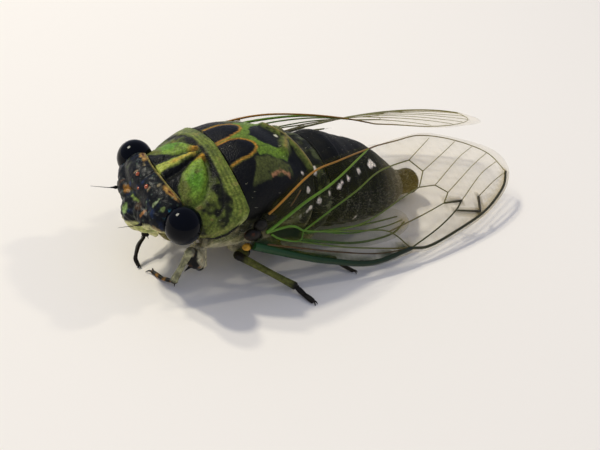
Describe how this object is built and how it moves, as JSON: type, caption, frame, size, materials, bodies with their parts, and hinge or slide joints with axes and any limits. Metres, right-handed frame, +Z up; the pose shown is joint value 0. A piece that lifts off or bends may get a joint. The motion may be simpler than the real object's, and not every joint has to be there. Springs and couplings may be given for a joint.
{
  "type": "dog-day cicada",
  "caption": "Life-size still model of a cicada at rest, clear wings folded roof-like over the body, standing on six feet.",
  "frame": {"origin": "on the floor, under the middle of the bounding box", "axes": "+X towards the tail, head towards -X; +Y the insect's right side; +Z up from the floor it stands on"},
  "size_m": [0.0445, 0.0216, 0.011],
  "materials": {
    "dark_cuticle": "black horny cuticle, satin",
    "green_cuticle": "green and black horny cuticle, satin",
    "pale_cuticle": "cream cuticle, matt",
    "leg_cuticle": "green-brown horny cuticle, matt",
    "eye": "blue-black, glossy",
    "wing": "clear veined membrane"
  },
  "bodies": {
    "root": {"head": "dark_cuticle", "eye_left": "eye", "eye_right": "eye", "antenna_left": "dark_cuticle", "antenna_right": "dark_cuticle", "beak": "dark_cuticle", "pronotum": "green_cuticle", "prosternum": "pale_cuticle", "mesothorax": "green_cuticle", "metathorax": "green_cuticle", "abdomen": "dark_cuticle", "abdomen_tail": "dark_cuticle", "operculum_left": "pale_cuticle", "operculum_right": "pale_cuticle", "forewing_left": "wing", "forewing_right": "wing", "hindwing_left": "wing", "hindwing_right": "wing", "fore_left_coxa": "leg_cuticle", "fore_left_femur": "leg_cuticle", "fore_left_tibia": "leg_cuticle", "fore_left_tarsus": "leg_cuticle", "fore_right_coxa": "leg_cuticle", "fore_right_femur": "leg_cuticle", "fore_right_tibia": "leg_cuticle", "fore_right_tarsus": "leg_cuticle", "mid_left_coxa": "leg_cuticle", "mid_left_femur": "leg_cuticle", "mid_left_tibia": "leg_cuticle", "mid_left_tarsus": "leg_cuticle", "mid_right_coxa": "leg_cuticle", "mid_right_femur": "leg_cuticle", "mid_right_tibia": "leg_cuticle", "mid_right_tarsus": "leg_cuticle", "hind_left_coxa": "leg_cuticle", "hind_left_femur": "leg_cuticle", "hind_left_tibia": "leg_cuticle", "hind_left_tarsus": "leg_cuticle", "hind_right_coxa": "leg_cuticle", "hind_right_femur": "leg_cuticle", "hind_right_tibia": "leg_cuticle", "hind_right_tarsus": "leg_cuticle"}
  },
  "joints": []
}
